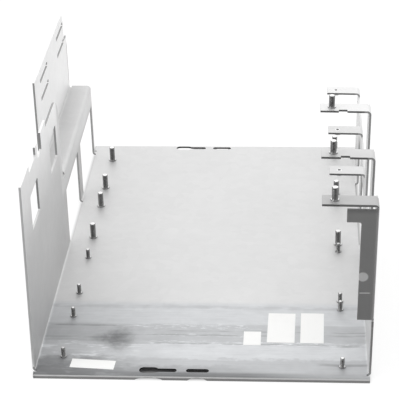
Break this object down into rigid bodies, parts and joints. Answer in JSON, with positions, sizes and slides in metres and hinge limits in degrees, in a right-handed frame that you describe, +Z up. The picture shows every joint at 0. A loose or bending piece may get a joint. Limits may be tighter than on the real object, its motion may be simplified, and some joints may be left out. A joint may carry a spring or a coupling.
{
  "type": "sheet metal chassis",
  "caption": "Open chassis folded from galvanised steel sheet, with a stepped side wall, shelf, bracket posts and tabs, weld studs for circuit boards, clinch nuts and blank labels.",
  "frame": {"origin": "bottom centre of the whole part, at the lower edges of the end lips", "axes": "+Z up, +Y from the front lip to the rear lip, +X towards the side with the posts and tabs"},
  "size_m": [0.3352, 0.4726, 0.1926],
  "materials": {
    "galvanised_sheet": "satin zinc coat, scuffed and stained",
    "stud_steel": "plated thread, dull",
    "nut_steel": "plated",
    "label_paper": "blank white label"
  },
  "bodies": {
    "root": {"chassis": "galvanised_sheet", "small_studs_left": "stud_steel", "small_studs_right": "stud_steel", "large_studs_left": "stud_steel", "large_studs_right": "stud_steel", "tab_studs": "stud_steel", "tab_nuts": "nut_steel", "label_front_left": "label_paper", "label_small": "label_paper", "label_left_pair": "label_paper", "label_right_pair": "label_paper"}
  },
  "joints": []
}
